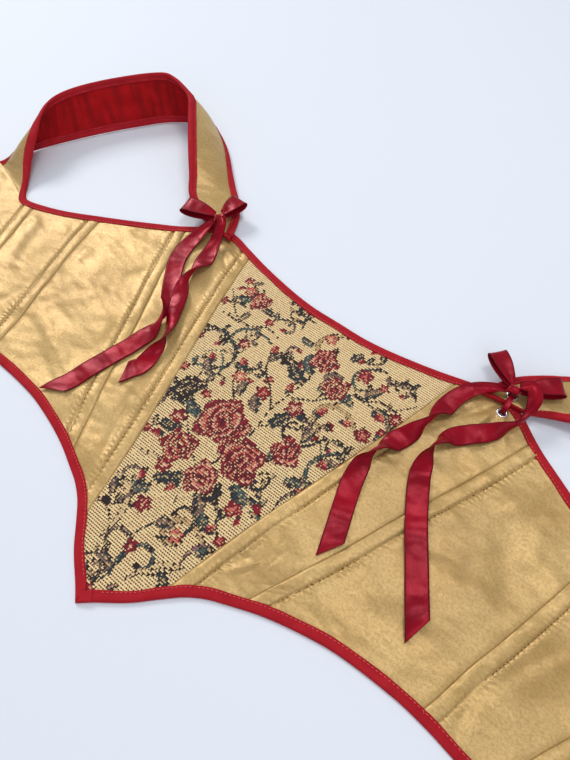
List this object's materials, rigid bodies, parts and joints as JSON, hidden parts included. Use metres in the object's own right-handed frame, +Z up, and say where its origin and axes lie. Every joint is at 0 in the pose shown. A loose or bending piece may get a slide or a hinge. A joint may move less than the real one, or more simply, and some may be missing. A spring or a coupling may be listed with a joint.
{
  "type": "renaissance bodice laid open",
  "caption": "Laced renaissance bodice lying open and face up, with a tapestry stomacher, boned satin panels, bound edges, standing shoulder straps and ribbon bows.",
  "frame": {"origin": "middle of the garment's outline at the surface that it lies on", "axes": "+X to the wearer's left, across the garment; +Y from the front point to the neckline; +Z up out of the cloth's face"},
  "size_m": [0.86, 0.4147, 0.0471],
  "materials": {
    "tapestry": "ribbed jacquard weave with floral motifs, matte",
    "gold_satin": "heavy satin, soft broad sheen",
    "red_binding": "plain cotton bias tape, matte",
    "strap_lining": "plain cotton, matte",
    "crimson_ribbon": "single-faced satin ribbon, glossy",
    "eyelet_metal": "polished nickel"
  },
  "bodies": {
    "root": {"stomacher": "tapestry", "front_panel_left": "gold_satin", "side_front_panel_left": "gold_satin", "side_panel_left": "gold_satin", "back_panel_left": "gold_satin", "strap_left": "gold_satin", "strap_lining_left": "strap_lining", "armhole_binding_left": "red_binding", "hem_binding_left": "red_binding", "back_neck_binding_left": "red_binding", "back_edge_binding_left": "red_binding", "strap_neck_binding_left": "red_binding", "strap_armhole_binding_left": "red_binding", "strap_end_binding_left": "red_binding", "front_eyelet_left": "eyelet_metal", "strap_eyelet_left": "eyelet_metal", "lacing_eyelet_left_1": "eyelet_metal", "lacing_eyelet_left_2": "eyelet_metal", "lacing_eyelet_left_3": "eyelet_metal", "lacing_eyelet_left_4": "eyelet_metal", "lacing_eyelet_left_5": "eyelet_metal", "lacing_eyelet_left_6": "eyelet_metal", "lacing_eyelet_left_7": "eyelet_metal", "ribbon_tie_left": "crimson_ribbon", "ribbon_knot_left": "crimson_ribbon", "ribbon_loop_left_upper": "crimson_ribbon", "ribbon_loop_left_outer": "crimson_ribbon", "ribbon_tail_left_inner": "crimson_ribbon", "ribbon_tail_left_outer": "crimson_ribbon", "front_panel_right": "gold_satin", "side_front_panel_right": "gold_satin", "side_panel_right": "gold_satin", "back_panel_right": "gold_satin", "strap_right": "gold_satin", "strap_lining_right": "strap_lining", "armhole_binding_right": "red_binding", "hem_binding_right": "red_binding", "back_neck_binding_right": "red_binding", "back_edge_binding_right": "red_binding", "strap_neck_binding_right": "red_binding", "strap_armhole_binding_right": "red_binding", "strap_end_binding_right": "red_binding", "front_eyelet_right": "eyelet_metal", "strap_eyelet_right": "eyelet_metal", "lacing_eyelet_right_1": "eyelet_metal", "lacing_eyelet_right_2": "eyelet_metal", "lacing_eyelet_right_3": "eyelet_metal", "lacing_eyelet_right_4": "eyelet_metal", "lacing_eyelet_right_5": "eyelet_metal", "lacing_eyelet_right_6": "eyelet_metal", "lacing_eyelet_right_7": "eyelet_metal", "ribbon_tie_right": "crimson_ribbon", "ribbon_knot_right": "crimson_ribbon", "ribbon_loop_right_upper": "crimson_ribbon", "ribbon_loop_right_outer": "crimson_ribbon", "ribbon_tail_right_inner": "crimson_ribbon", "ribbon_tail_right_outer": "crimson_ribbon", "neckline_binding": "red_binding", "point_tab": "red_binding"}
  },
  "joints": []
}
